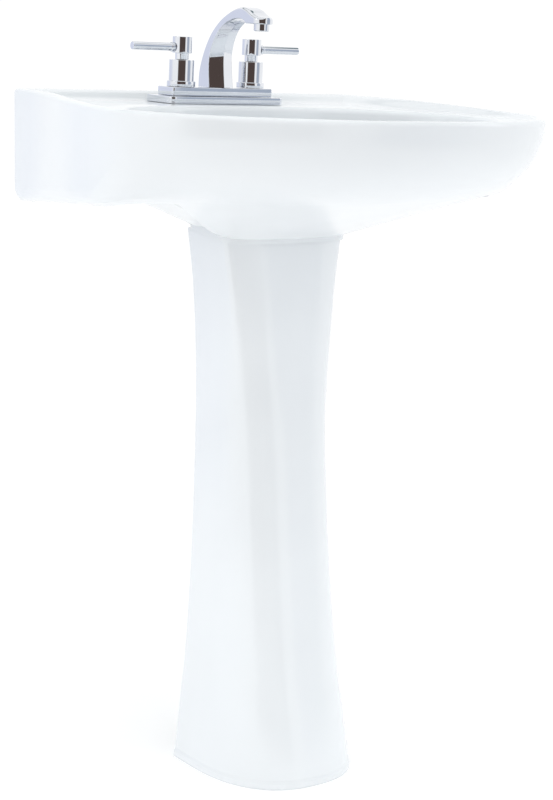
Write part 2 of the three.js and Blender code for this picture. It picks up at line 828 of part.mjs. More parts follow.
function stopperSpring() {
  const turns = 5;
  const steps = turns * 10;
  const [low, high] = [-145, flangeTop - 8];
  const points = [];
  for (let i = 0; i <= steps; i++) {
    const angle = (i / steps) * turns * 2 * Math.PI;
    points.push(new THREE.Vector3(5.8 * Math.cos(angle), 5.8 * Math.sin(angle), lerp(low, high, i / steps)));
  }
  const section = new THREE.Shape();
  section.absarc(0, 0, 0.6, 0, 2 * Math.PI);
  const path = new THREE.CatmullRomCurve3(points);
  return new THREE.ExtrudeGeometry(section, { steps, curveSegments: 3, extrudePath: path });
}

// ---------------------------------------------------------------- assembly

const pedestalSink = new THREE.Group();
const sinkFrame = new THREE.Group();
const faucetFrame = new THREE.Group();
const drainFrame = new THREE.Group();
sinkFrame.position.set(0, faucetY, deckHeight);
faucetFrame.rotation.x = deckTilt;
drainFrame.position.y = drainY;
pedestalSink.add(sinkFrame);
sinkFrame.add(faucetFrame, drainFrame);

function piece(parent, name, geometry, material) {
  const mesh = new THREE.Mesh(geometry, material);
  mesh.name = name;
  parent.add(mesh);
  return mesh;
}

piece(sinkFrame, 'basin', basin(), china);
piece(sinkFrame, 'pedestal', pedestal(), china);

piece(faucetFrame, 'deck_gasket', deckGasket(), rubber);
piece(faucetFrame, 'faucet_base_plate', basePlate(), chrome);
piece(faucetFrame, 'faucet_body', faucetBody(), chrome);
piece(faucetFrame, 'spout', spout(), chrome);
piece(faucetFrame, 'aerator_housing', aeratorHousing(), chrome);
piece(faucetFrame, 'aerator_insert', aeratorInsert(), plastic);

for (const [water, side] of [['hot', -1], ['cold', 1]]) {
  const valve = new THREE.Group();
  valve.position.x = (side * handleSpacing) / 2;
  faucetFrame.add(valve);
  piece(valve, `${water}_valve_bonnet`, valveBonnet(), chrome);
  piece(valve, `${water}_cartridge`, valveCartridge(), brass);
  piece(valve, `${water}_stem`, valveStem(), brass);
  piece(valve, `${water}_handle_hub`, handleHub(side), chrome);
  piece(valve, `${water}_lever`, lever(side), chrome);
  piece(valve, `${water}_set_screw`, setScrew(), steel);
  piece(valve, `${water}_inlet_shank`, inletShank(), brass);
  piece(valve, `${water}_shank_washer`, shankWasher(), rubber);
  piece(valve, `${water}_shank_nut`, shankNut(), plastic);
}

piece(drainFrame, 'drain_flange', drainFlange(), chrome);
piece(drainFrame, 'drain_body', drainBody(), brass);
piece(drainFrame, 'drain_gasket', drainGasket(), rubber);
piece(drainFrame, 'drain_washer', drainWasher(), plastic);
piece(drainFrame, 'drain_nut', drainNut(), brass);
piece(drainFrame, 'tailpiece', tailpiece(), chrome);
piece(drainFrame, 'stopper_guide', stopperGuide(), brass);
piece(drainFrame, 'stopper_spring', stopperSpring(), steel);
piece(drainFrame, 'drain_stopper', stopper(), chrome);
piece(drainFrame, 'stopper_seal', stopperSeal(), rubber);

export default pedestalSink;
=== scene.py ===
import json
import math

import bmesh
import bpy
import numpy as np
from mathutils import Matrix, Vector


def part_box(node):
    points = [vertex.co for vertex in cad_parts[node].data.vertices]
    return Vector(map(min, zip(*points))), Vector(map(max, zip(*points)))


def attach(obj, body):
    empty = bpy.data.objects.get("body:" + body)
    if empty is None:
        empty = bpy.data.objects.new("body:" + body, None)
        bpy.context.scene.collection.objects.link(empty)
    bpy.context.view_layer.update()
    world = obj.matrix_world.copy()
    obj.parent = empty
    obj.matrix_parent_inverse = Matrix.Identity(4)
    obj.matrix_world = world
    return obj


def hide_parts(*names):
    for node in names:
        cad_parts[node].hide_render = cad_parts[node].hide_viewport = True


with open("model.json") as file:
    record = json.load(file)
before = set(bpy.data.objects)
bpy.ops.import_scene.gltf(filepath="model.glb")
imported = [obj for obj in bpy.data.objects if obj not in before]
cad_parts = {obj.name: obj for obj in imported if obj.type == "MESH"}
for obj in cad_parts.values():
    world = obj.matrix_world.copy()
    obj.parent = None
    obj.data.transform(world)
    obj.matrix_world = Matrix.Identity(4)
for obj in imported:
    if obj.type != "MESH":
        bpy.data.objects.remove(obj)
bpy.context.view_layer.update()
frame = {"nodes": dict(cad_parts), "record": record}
scene = bpy.context.scene

# ---------------------------------------------------------------- driving dimensions, mm

BASIN_WIDTH = 580
BASIN_DEPTH = 462
BACK_WIDTH = 492
WALL_BEHIND = 57
WIDEST_FROM_FRONT = 188
FRONT_POWER = 2.1
DECK_HEIGHT = 796
RIM_RISE = 6
BACK_RISE = 5.3
EDGE_RADIUS = 6
DECK_THICKNESS = 14
SKIRT_WALL = 11
BOWL_HALF_WIDTH = 232
BOWL_BACK = -54
BOWL_FRONT_MARGIN = 40
BOWL_DEPTH = 115
BOWL_FLOOR_RADIUS = 36
BOWL_WALL = 11
BOWL_RIM_RADIUS = 7
COLUMN_Y = -120
HEAD_HALF_WIDTH = 85
HEAD_FRONT = 46
HEAD_BACK = 50
NECK_OVERHANG = 4
SEAT_BACK = -143
SEAT_SLOPE = 0.138
CHINA_WALL = 12
DRAIN_Y = -115
DRAIN_HOLE_RADIUS = 22.5
HANDLE_SPACING = 101.6
HUB_TOP = 78.3
LEVER_HEIGHT = 65.75
LEVER_REACH = 70.1
AERATOR_Y = -90.5
SPOUT_HEAD_HALF = 13
SPOUT_FOOT_HALF = 17.5
SPOUT_SEAT = 97
GAP = 0.3
BOLT_HOLE_RADIUS = 6
DECK_HOLE_RADIUS = 15
VALVE_HOLE_RADIUS = 11
WINDOW_HALF_WIDTH = 110
LEDGE_HALF_WIDTH = 84
LEVER_BORE_RADIUS = 4.2
SCREW_BORE_RADIUS = 2.2
WALL_HOLE_X = 150
WALL_HOLE_Z = -48
LOWER_CORNER_RADIUS = 19
OVERFLOW_RADIUS = 4.5
FOOT_SCREW_BEHIND = 24
LEDGE_DEPTH = 47
LEDGE_HEIGHT = 14
BASE_PLATE = (165, 59.4)
BASE_RECESS = (151, 52.4)
BODY_PLATE = (145.2, 35.6)

FRONT_Y = WALL_BEHIND - BASIN_DEPTH
WIDEST_Y = FRONT_Y + WIDEST_FROM_FRONT
DECK_TILT = math.radians(2.34)
DECK_SLOPE = math.tan(DECK_TILT)

# ---------------------------------------------------------------- placing in the part's frame

PLATE_MIDDLE = 4.5
plate_low, plate_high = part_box("faucet_base_plate")
deck_normal = Vector((0, -math.sin(DECK_TILT), math.cos(DECK_TILT)))
faucet_point = (plate_low + plate_high) / 2 - deck_normal * PLATE_MIDDLE / 1000
tilt_matrix = np.array(Matrix.Rotation(DECK_TILT, 3, "X"))


def upright(points, x=0, y=0):
    """Millimetres from the faucet point to metres in the part's frame, for what stands upright."""
    return (np.asarray(points, float) + [x, y, 0]) / 1000 + np.array(faucet_point)


def tilted(points, x=0, y=0):
    """The same for what stands square on the sloping deck."""
    return ((np.asarray(points, float) + [x, y, 0]) @ tilt_matrix.T) / 1000 + np.array(faucet_point)


def moved(place, x=0, y=0, z=0):
    """The same placing, from a point moved by x, y and z."""
    return lambda points: place(np.asarray(points, float) + [0, 0, z], x, y)


# ---------------------------------------------------------------- mesh helpers


def smooth(t):
    c = np.clip(t, 0, 1)
    return c * c * (3 - 2 * c)


def lerp(a, b, t):
    return a + (b - a) * t


def mesh_object(name, points, faces):
    """An object whose faces all look outwards, with no doubled points."""
    work = bmesh.new()
    corners = [work.verts.new(point) for point in np.asarray(points).tolist()]
    for face in faces:
        work.faces.new([corners[i] for i in face])
    bmesh.ops.remove_doubles(work, verts=work.verts, dist=1e-6)
    bmesh.ops.recalc_face_normals(work, faces=work.faces)
    mesh = bpy.data.meshes.new(name)
    work.to_mesh(mesh)
    work.free()
    made = bpy.data.objects.new(name, mesh)
    scene.collection.objects.link(made)
    return made


def soften(piece, degrees=32):
    piece.data.shade_smooth()
    piece.data.set_sharp_from_angle(angle=math.radians(degrees))
    return piece


def ring_faces(rings, count, wrap=False):
    """Quads between rings of points; wrap also joins the last ring to the first."""
    faces = []
    for r in range(rings if wrap else rings - 1):
        a = r * count
        b = ((r + 1) % rings) * count
        for i in range(count):
            j = (i + 1) % count
            faces.append((a + i, a + j, b + j, b + i))
    return faces


def loft(name, rings, place):
    """A closed skin through rings of points, each end closed by a fan."""
    rings = [np.asarray(ring, float) for ring in rings]
    count = len(rings[0])
    faces = ring_faces(len(rings), count)
    points = list(np.concatenate(rings))
    for start in (0, (len(rings) - 1) * count):
        middle = len(points)
        points.append(np.mean(points[start:start + count], axis=0))
        faces += [(middle, start + i, start + (i + 1) % count) for i in range(count)]
    return mesh_object(name, place(points), faces)


def rounded(profile, radius=0.5, steps=4, closed=False):
    """The same profile with its corners rounded; a profile that isn't closed keeps its ends."""
    points = [np.array(point, float) for point in profile]
    out = []
    for i, corner in enumerate(points):
        if not closed and i in (0, len(points) - 1):
            out.append(corner)
            continue
        before = points[i - 1]
        after = points[(i + 1) % len(points)]
        back = np.linalg.norm(before - corner)
        on = np.linalg.norm(after - corner)
        reach = min(radius, back / 2.2, on / 2.2)
        start = corner + (before - corner) * reach / back
        end = corner + (after - corner) * reach / on
        for t in np.linspace(0, 1, steps + 1):
            out.append((1 - t) ** 2 * start + 2 * t * (1 - t) * corner + t * t * end)
    return out


def lathe(profile, segments=96, closed=False):
    """Points and faces of a profile of (radius, height) turned about the Z axis."""
    profile = np.array(profile, float)
    angles = np.linspace(0, 2 * math.pi, segments, endpoint=False)
    points = [
        np.column_stack((r * np.cos(angles), r * np.sin(angles), np.full(segments, h)))
        for r, h in profile
    ]
    return np.concatenate(points), ring_faces(len(profile), segments, closed)


def turned(name, profile, place, radius=0.5, segments=96, closed=False):
    points, faces = lathe(rounded(profile, radius, closed=closed), segments, closed)
    return mesh_object(name, place(points), faces)


def rod(name, radius, low, high, place, turn=None, segments=64):
    """A plain cylinder used to cut holes; turn lays it along another axis."""
    points, faces = lathe([(0, low), (radius, low), (radius, high), (0, high)], segments)
    if turn is not None:
        points = points @ np.array(turn).T
    return mesh_object(name, place(points), faces)


def block(name, low, high, place):
    (x0, y0, z0), (x1, y1, z1) = low, high
    rings = [[(x0, y0, z), (x1, y0, z), (x1, y1, z), (x0, y1, z)] for z in (z0, z1)]
    return loft(name, rings, place)


def combine(target, tool, operation="DIFFERENCE"):
    """Cuts, joins or intersects the target with the tool, and throws the tool away."""
    modifier = target.modifiers.new("combine", "BOOLEAN")
    modifier.operation = operation
    modifier.solver = "MANIFOLD"
    modifier.object = tool
    view = bpy.context.evaluated_depsgraph_get()
    result = bpy.data.meshes.new_from_object(target.evaluated_get(view))
    target.modifiers.clear()
    target.data = result
    bpy.data.objects.remove(tool)
    return target


def keep_largest(piece):
    """Leaves only the connected part with the most points."""
    work = bmesh.new()
    work.from_mesh(piece.data)
    unseen = set(work.verts)
    groups = []
    while unseen:
        stack = [unseen.pop()]
        group = []
        while stack:
            corner = stack.pop()
            group.append(corner)
            for edge in corner.link_edges:
                other = edge.other_vert(corner)
                if other in unseen:
                    unseen.remove(other)
                    stack.append(other)
        groups.append(group)
    largest = max(groups, key=len)
    spare = [corner for group in groups if group is not largest for corner in group]
    bmesh.ops.delete(work, geom=spare, context="VERTS")
    work.to_mesh(piece.data)
    work.free()


def spline(points, t):
    """A smooth curve through points; t runs from 0 to 1."""
    points = np.asarray(points, float)
    last = len(points) - 1
    share = t * last
    i = min(int(share), last - 1)
    f = share - i
    p0, p1 = points[max(i - 1, 0)], points[i]
    p2, p3 = points[i + 1], points[min(i + 2, last)]
    v0, v1 = (p2 - p0) / 2, (p3 - p1) / 2
    return (2 * p1 - 2 * p2 + v0 + v1) * f**3 + (3 * p2 - 3 * p1 - 2 * v0 - v1) * f**2 + v0 * f + p1


# ---------------------------------------------------------------- basin outline and heights


def side_half_width(y):
    t = (WALL_BEHIND - y) / (WALL_BEHIND - WIDEST_Y)
    return lerp(BACK_WIDTH / 2, BASIN_WIDTH / 2, smooth(t))


def basin_outline(front_steps=60, side_steps=40, corner=4.0, back_steps=12):
    """The plan outline from the front centre round the right side to the back centre and round."""
    half = []
    for angle in np.linspace(0, math.pi / 2, front_steps, endpoint=False):
        x = BASIN_WIDTH / 2 * math.sin(angle) ** (2 / FRONT_POWER)
        y = WIDEST_Y - WIDEST_FROM_FRONT * math.cos(angle) ** (2 / FRONT_POWER)
        half.append((x, y))
    for y in np.linspace(WIDEST_Y, WALL_BEHIND - corner, side_steps):
        half.append((float(side_half_width(y)), y))
    for angle in np.linspace(0, math.pi / 2, 7)[1:]:
        x = BACK_WIDTH / 2 - corner * (1 - math.cos(angle))
        y = WALL_BEHIND - corner * (1 - math.sin(angle))
        half.append((x, y))
    for share in np.linspace(1, 0, back_steps)[1:]:
        half.append(((BACK_WIDTH / 2 - corner) * share, WALL_BEHIND))
    mirrored = [(-x, y) for x, y in half[-2:0:-1]]
    return np.array(half + mirrored)


def deck_z(y):
    return DECK_SLOPE * y


def rim_z(y):
    """Height of the rim: a low lip all round, rising along the sides to the back ledge."""
    return deck_z(y) + RIM_RISE + BACK_RISE * smooth((y + 255) / 232)


def skirt_z(y):
    return -117 - 0.085 * y


def seat_z(y):
    return SEAT_BACK + SEAT_SLOPE * (y + 70)


def super_radius(dx, dy, half_x, half_y, power):
    length = np.hypot(dx, dy)
    a = np.abs(dx / length) / half_x
    b = np.abs(dy / length) / half_y
    return (a**power + b**power) ** (-1 / power)


def neck_point(outline, margin=0.0):
    """The neck's outline, grown by a margin, in the direction of each outline point."""
    x, dy = outline[:, 0], outline[:, 1] - COLUMN_Y
    front = super_radius(x, dy, HEAD_HALF_WIDTH + margin, HEAD_FRONT + margin, 4)
    behind = super_radius(x, dy, HEAD_HALF_WIDTH + margin, HEAD_BACK + margin, 6)
    radius = np.where(dy < 0, front, behind) / np.hypot(x, dy)
    return x * radius, COLUMN_Y + dy * radius


BOWL_FRONT = FRONT_Y + BOWL_FRONT_MARGIN
BOWL_CENTRE_Y = (BOWL_BACK + BOWL_FRONT) / 2
BOWL_HALF_DEPTH = (BOWL_BACK - BOWL_FRONT) / 2


def bowl_point(outline, margin=0.0):
    x, dy = outline[:, 0], outline[:, 1] - BOWL_CENTRE_Y
    radius = super_radius(x, dy, BOWL_HALF_WIDTH + margin, BOWL_HALF_DEPTH + margin, 2.2)
    radius = radius / np.hypot(x, dy)
    return x * radius, BOWL_CENTRE_Y + dy * radius


def bowl_ring(outline, size, margin=0.0):
    """One ring of the bowl: size runs from 1 at the deck to 0 at the flat floor round the drain."""
    depth = (BOWL_DEPTH + margin) * math.sqrt(max(0.0, 1 - size * size))
    bx, by = bowl_point(outline, margin)
    floor_scale = (BOWL_FLOOR_RADIUS + margin) / np.hypot(bx, by - DRAIN_Y)
    x = lerp(bx * floor_scale, bx, size)
    y = DRAIN_Y + lerp((by - DRAIN_Y) * floor_scale, by - DRAIN_Y, size)
    return np.column_stack((x, y, lerp(deck_z(DRAIN_Y), deck_z(y), size) - depth))


# ---------------------------------------------------------------- basin


def hull_share(y, t):
    """How far in and how far down the outside has run from the rim to the neck at share t."""
    upright_share = smooth((y + 320) / 130)
    drop = rim_z(y) - seat_z(COLUMN_Y)
    skirt_corner = (rim_z(y) - skirt_z(y)) / drop
    corner = lerp(0.467, skirt_corner, upright_share)
    start = lerp(0.05, corner - 0.08, upright_share)
    end = lerp(0.3, 0.045, upright_share)
    taper = 0.02
    line_taper = corner + (1 - corner) * taper
    line_end = corner + (1 - corner) * end
    a = 2 * t * (1 - t) * taper + t * t * end
    b = (1 - t) ** 2 * start + 2 * t * (1 - t) * line_taper + t * t * line_end
    return a, b


def hull_ring(outline, a, b):
    nx, ny = neck_point(outline, NECK_OVERHANG)
    x, y = outline[:, 0], outline[:, 1]
    z = lerp(rim_z(y), seat_z(ny), b)
    return np.column_stack((lerp(x, nx, a), lerp(y, ny, a), z))


def edge_ring(outline, degrees):
    """The rounded outer edge of the rim, from its top (90) to its upright side (0)."""
    angle = math.radians(degrees)
    bx, by = bowl_point(outline)
    x, y = outline[:, 0], outline[:, 1]
    t = EDGE_RADIUS * (1 - math.cos(angle)) / np.hypot(x - bx, y - by)
    z = rim_z(y) - EDGE_RADIUS * (1 - math.sin(angle))
    return np.column_stack((lerp(x, bx, t), lerp(y, by, t), z))


def basin_shell():
    outline = basin_outline()
    rings = [bowl_ring(outline, math.cos(math.radians(d))) for d in np.arange(90, 4, -3)]
    for degrees in (0, 18, 36, 54, 72, 90):
        angle = math.radians(degrees)
        x, y = bowl_point(outline, BOWL_RIM_RADIUS * (1 - math.cos(angle)))
        rings.append(np.column_stack((x, y, deck_z(y) - BOWL_RIM_RADIUS * (1 - math.sin(angle)))))
    inner = np.column_stack(bowl_point(outline, BOWL_RIM_RADIUS))
    crest = edge_ring(outline, 90)[:, :2]
    for share in (0.25, 0.5, 0.66, 0.72, 0.76, 0.8, 0.84, 0.88, 0.92, 0.96):
        flat = lerp(inner, crest, share)
        rise = smooth((share - 0.7) / 0.28) * (rim_z(outline[:, 1]) - deck_z(outline[:, 1]))
        rings.append(np.column_stack((flat, deck_z(flat[:, 1]) + rise)))
    rings += [edge_ring(outline, degrees) for degrees in (90, 75, 60, 45, 30, 15, 0)]
    y = outline[:, 1]
    rings += [hull_ring(outline, *hull_share(y, t)) for t in np.linspace(0, 1, 25)]
    end_a, end_b = hull_share(y, 1.0)
    lip = 0.965
    for share in (0.15, 0.3, 0.45, 0.6, 0.75, 0.88, 0.96):
        rings.append(hull_ring(outline, lerp(end_a, 1.0, share), lerp(end_b, lip, share)))
    for b in (lip, 0.975, 1.0):
        rings.append(hull_ring(outline, np.ones(len(outline)), np.full(len(outline), b)))
    return loft("basin_china", rings, upright)


def rear_pocket():
    """The space inside the shoulders and the back wall, open at the bottom."""
    outline = basin_outline(30, 20, 4.0, 6)

    def inset(ring, top):
        x, y, z = ring.T
        t = SKIRT_WALL * 1.15 / np.hypot(x, y - COLUMN_Y)
        inner_y = np.minimum(lerp(y, COLUMN_Y, t), WALL_BEHIND - SKIRT_WALL)
        return np.column_stack((x * (1 - t), inner_y, np.minimum(z, top)))

    x, y = outline.T
    top = deck_z(y) - DECK_THICKNESS
    rings = [inset(np.column_stack((x, y, top)), top)]
    for step, t in enumerate((0, 0.25, 0.5, 0.625, 0.75, 0.875, 1)):
        rings.append(inset(hull_ring(outline, *hull_share(y, t)), top - 1 - step * 0.6))
    bottom = rings[-1].copy()
    bottom[:, 2] = -200
    rings.append(bottom)
    pocket = loft("pocket", rings, upright)
    neck_x, neck_y, far_x, far_y, back = 86, -141, 330, -346, 100
    zone = [(0, -100), (neck_x, neck_y), (far_x, far_y), (far_x, back),
            (-far_x, back), (-far_x, far_y), (-neck_x, neck_y)]
    rings = [[(px, py, z) for px, py in zone] for z in (-250, 50)]
    open_zone = loft_polygon("zone", rings)
    return combine(pocket, open_zone, "INTERSECT")


def loft_polygon(name, rings):
    """An upright prism; each end is one face, so that its plan may have notches."""
    count = len(rings[0])
    faces = ring_faces(2, count) + [tuple(range(count)), tuple(range(count, 2 * count))]
    return mesh_object(name, upright(np.concatenate(rings)), faces)


def bowl_and_neck():
    """The bowl's outer skin, and the flare that carries it down to the neck."""
    outline = basin_outline(30, 16, 4.0, 6)
    rings = [bowl_ring(outline, math.cos(math.radians(d)), BOWL_WALL) for d in range(90, 8, -6)]
    x, y = bowl_point(outline, BOWL_WALL)
    rings.append(np.column_stack((x, y, np.full(len(x), 20.0))))
    bowl = loft("bowl", rings, upright)
    flare = [(0, -180), (0, -140), (5, -136), (14, -132), (28, -124.5), (44, -117),
             (65, -107), (86, -97), (98, -70)]
    behind = smooth((outline[:, 1] - COLUMN_Y - 0.8 * np.abs(outline[:, 0])) / 100)
    rings = []
    for margin, z in flare:
        x, y = neck_point(outline, NECK_OVERHANG + margin * lerp(1, 0.4, behind))
        rings.append(np.column_stack((x, np.minimum(y, -27), np.full(len(x), float(z)))))
    return bowl, loft("flare", rings, upright)


def neck_hollow():
    outline = basin_outline(20, 10, 4.0, 5)
    x, y = neck_point(outline, -CHINA_WALL)
    rings = [np.column_stack((x, y, np.full(len(x), z))) for z in (-190.0, -134.0)]
    return loft("neck_hollow", rings, upright)


def overflow_passage():
    """The overflow runs inside the front wall, from the bowl down to the drain."""
    path = [
        (-322, -46), (-348, -60), (-338, -84), (-290, -106), (-220, -127), (-160, -131), (-128, -128),
    ]
    rings = []
    for t in np.linspace(0, 1, 40):
        y, z = spline(path, t)
        ahead = spline(path, min(1, t + 0.01)) - spline(path, max(0, t - 0.01))
        ahead = ahead / np.linalg.norm(ahead)
        angles = np.linspace(0, 2 * math.pi, 24, endpoint=False)
        side = OVERFLOW_RADIUS * np.cos(angles)
        lift = OVERFLOW_RADIUS * np.sin(angles)
        rings.append(np.column_stack((side, y - ahead[1] * lift, z + ahead[0] * lift)))
    return loft("overflow", rings, upright)


def lower_back_corner():
    """What the rounding takes off the back wall's lower edge."""
    radius = LOWER_CORNER_RADIUS
    y = WALL_BEHIND - radius
    z = skirt_z(WALL_BEHIND) + radius
    angles = np.linspace(0, math.pi / 2, 13)
    arc = [(y + radius * math.sin(a), z - radius * math.cos(a)) for a in angles]
    section = arc + [(y + 2 * radius, z), (y + 2 * radius, z - 2 * radius), (y, z - 2 * radius)]
    rings = [[(x, py, pz) for py, pz in section] for x in (-320, 320)]
    return loft_polygon("corner", rings)


def basin():
    piece = basin_shell()
    pocket = rear_pocket()
    for solid in bowl_and_neck():
        combine(pocket, solid)
    combine(piece, pocket)
    low = (-WINDOW_HALF_WIDTH, WALL_BEHIND - 30, -175)
    high = (WINDOW_HALF_WIDTH, WALL_BEHIND + 30, -55)
    combine(piece, block("window", low, high, upright))
    combine(piece, lower_back_corner())
    combine(piece, neck_hollow())
    combine(piece, overflow_passage())
    combine(piece, rod("drain_hole", DRAIN_HOLE_RADIUS, -160, -90, moved(upright, 0, DRAIN_Y)))
    for x in (-HANDLE_SPACING / 2, 0, HANDLE_SPACING / 2):
        combine(piece, rod("deck_hole", DECK_HOLE_RADIUS, -40, 20, moved(tilted, x)))
    lay = Matrix.Rotation(math.pi / 2, 3, "X")
    for side in (-1, 1):
        place = moved(upright, side * WALL_HOLE_X, WALL_BEHIND, WALL_HOLE_Z)
        combine(piece, rod("wall_hole", BOLT_HOLE_RADIUS, -20, 20, place, lay, 48))
    keep_largest(piece)
    return soften(piece, 40)


# ---------------------------------------------------------------- pedestal

# stations from the floor up: share of the height, half width, front reach, squareness
STATIONS = [
    (0, 94, 121, 2.4),
    (0.03, 92, 120, 2.4),
    (0.11, 87, 109, 2.5),
    (0.21, 80, 96, 2.6),
    (0.42, 72.5, 77, 2.6),
    (0.69, 69.5, 60, 2.6),
    (0.88, 75, 51, 3.6),
    (1, HEAD_HALF_WIDTH, HEAD_FRONT, 4.5),
]
station_curves = [
    np.array([spline([(s[0] * 100, s[k]) for s in STATIONS], t) for t in np.linspace(0, 1, 800)])
    for k in (1, 2, 3)
]


def column_size(share):
    return [float(np.interp(share * 100, curve[:, 0], curve[:, 1])) for curve in station_curves]


# the head's plan as shares of its half width and front reach: a front face, a crease, a corner
HEAD_PLAN = [(0, 1.0), (0.4, 0.992), (0.52, 0.96), (0.9, 0.74), (0.97, 0.66), (1.0, 0.54), (1.0, 0)]


def head_radius(dx, dy):
    """Distance to the head's creased plan in the direction (dx, dy), both as shares."""
    best = 1.0
    for (x0, y0), (x1, y1) in zip(HEAD_PLAN, HEAD_PLAN[1:]):
        cross = dx * (y1 - y0) - dy * (x1 - x0)
        if abs(cross) < 1e-9:
            continue
        along = (x0 * (y1 - y0) - y0 * (x1 - x0)) / cross
        where = (x0 * dy - y0 * dx) / cross
        if along > 0 and -1e-6 <= where <= 1 + 1e-6:
            best = along
    return best


def column_points(share, inset, front_steps=40):
    """Half of the open section, from the back edge along the side to the front centre."""
    half_width, front, power = column_size(share)
    back = COLUMN_Y + HEAD_BACK
    crease = 0.7 * float(smooth((share - 0.6) / 0.4))
    points = []
    for y in np.linspace(back, COLUMN_Y, 8, endpoint=False):
        points.append((half_width * lerp(0.985, 1.0, smooth((back - y) / 40)) - inset, y))
    for angle in np.linspace(0, math.pi / 2, front_steps + 1):
        dx = math.cos(angle) ** (2 / power)
        dy = math.sin(angle) ** (2 / power)
        creased = lerp(1.0, head_radius(dx, dy), crease)
        points.append(((half_width - inset) * dx * creased, COLUMN_Y - (front - inset) * dy * creased))
    return points


def column():
    """A thin open shell: outside points then inside points at each height."""
    top_gap = 0.5
    shares = [0, 0.002, 0.006, 0.010, 0.0125, 0.0145, 0.0165, 0.0185, 0.025]
    shares += list(np.linspace(0.035, 0.985, 56)) + [0.993, 0.997, 1]
    rings = []
    for share in shares:
        plinth = 1.5 * float(1 - smooth((share - 0.0125) / 0.005))
        foot = 1.5 * (1 - math.sqrt(1 - (1 - min(share, 0.006) / 0.006) ** 2))
        crown = 0.7 * (1 - math.sqrt(1 - min(1.0, max(0.0, (share - 0.993) / 0.007)) ** 2))
        right = column_points(share, foot + crown - plinth)
        outside = right + [(-x, y) for x, y in right[-2::-1]]
        right = column_points(share, CHINA_WALL)
        inside = (right + [(-x, y) for x, y in right[-2::-1]])[::-1]
        ring = []
        for x, y in outside + inside:
            top = DECK_HEIGHT + seat_z(y) - top_gap
            ring.append((x, y, share * top - DECK_HEIGHT))
        rings.append(ring)
    count = len(rings[0])
    faces = ring_faces(len(rings), count)
    last = (len(rings) - 1) * count
    for i in range(count // 2 - 1):
        inner, next_inner = count - 1 - i, count - 2 - i
        faces.append((i, i + 1, next_inner, inner))
        faces.append((last + i, last + i + 1, last + next_inner, last + inner))
    return mesh_object("pedestal_china", upright(np.concatenate(rings)), faces)


def pedestal():
    piece = column()
    low = (-LEDGE_HALF_WIDTH, COLUMN_Y + 1, -DECK_HEIGHT)
    high = (LEDGE_HALF_WIDTH, COLUMN_Y + LEDGE_DEPTH, LEDGE_HEIGHT - DECK_HEIGHT)
    combine(piece, block("ledge", low, high, upright), "UNION")
    place = moved(upright, 0, COLUMN_Y + FOOT_SCREW_BEHIND, -DECK_HEIGHT)
    combine(piece, rod("bolt_hole", BOLT_HOLE_RADIUS, -10, 30, place))
    return soften(piece, 35)


# ---------------------------------------------------------------- faucet plates


def rounded_rectangle(length, width, radius, steps=6):
    points = []
    for quarter, (sx, sy) in enumerate(((1, -1), (1, 1), (-1, 1), (-1, -1))):
        cx, cy = sx * (length / 2 - radius), sy * (width / 2 - radius)
        for angle in np.linspace(0, math.pi / 2, steps + 1):
            turn = angle + (quarter - 1) * math.pi / 2
            points.append((cx + radius * math.cos(turn), cy + radius * math.sin(turn)))
    return points


def plate(name, length, width, corner, low, high, bevel):
    """A flat plate with every edge rounded."""
    rings = []
    for upper in (False, True):
        for angle in np.linspace(0, math.pi / 2, 7 if bevel else 1):
            turn = angle if upper else math.pi / 2 - angle
            inset = bevel * (1 - math.cos(turn))
            height = bevel * (1 - math.sin(turn))
            z = high - height if upper else low + height
            outline = rounded_rectangle(length - 2 * inset, width - 2 * inset, corner + bevel - inset)
            rings.append([(x, y, z) for x, y in outline])
    return loft(name, rings, tilted)


def base_plate():
    """The lower tier, hollowed below for its gasket, with a hole for each valve."""
    piece = plate("base_plate_chrome", *BASE_PLATE, corner=6.3, low=0.4, high=8.6, bevel=0.7)
    combine(piece, plate("recess", *BASE_RECESS, corner=4, low=-2, high=2.0, bevel=0))
    for side in (-1, 1):
        combine(piece, rod("hole", VALVE_HOLE_RADIUS, 0, 12, moved(tilted, side * HANDLE_SPACING / 2)))
    return soften(piece)


def body_plate():
    """The upper tier, one solid block with rounded edges."""
    piece = plate("body_plate_chrome", *BODY_PLATE, corner=1, low=8.9, high=19.2, bevel=1.2)
    return soften(piece)


# ---------------------------------------------------------------- spout

# side view of the arch, as (y, z): the side creases of its front, and its outer crest
SPOUT_INNER = [(-12, 19.5), (-9, 40), (-8.5, 57), (-13, 72), (-22, 86), (-35, 96), (-50, 101.5),
               (-63, 102.5), (-71, 100.5), (-76, 97)]
SPOUT_OUTER = [(15, 19.5), (14.5, 36), (10.5, 52), (4, 68), (-6, 84), (-21, 98.5), (-37, 108),
               (-52, 113.8), (-65, 115.8), (-76, 113.4)]
# the crest of the head, from the arch to the round nose
SPOUT_CREST = [(-76, 113.4), (-84, 109.8), (-90, 107), (-97, 105.3), (-103.5, 104.5)]


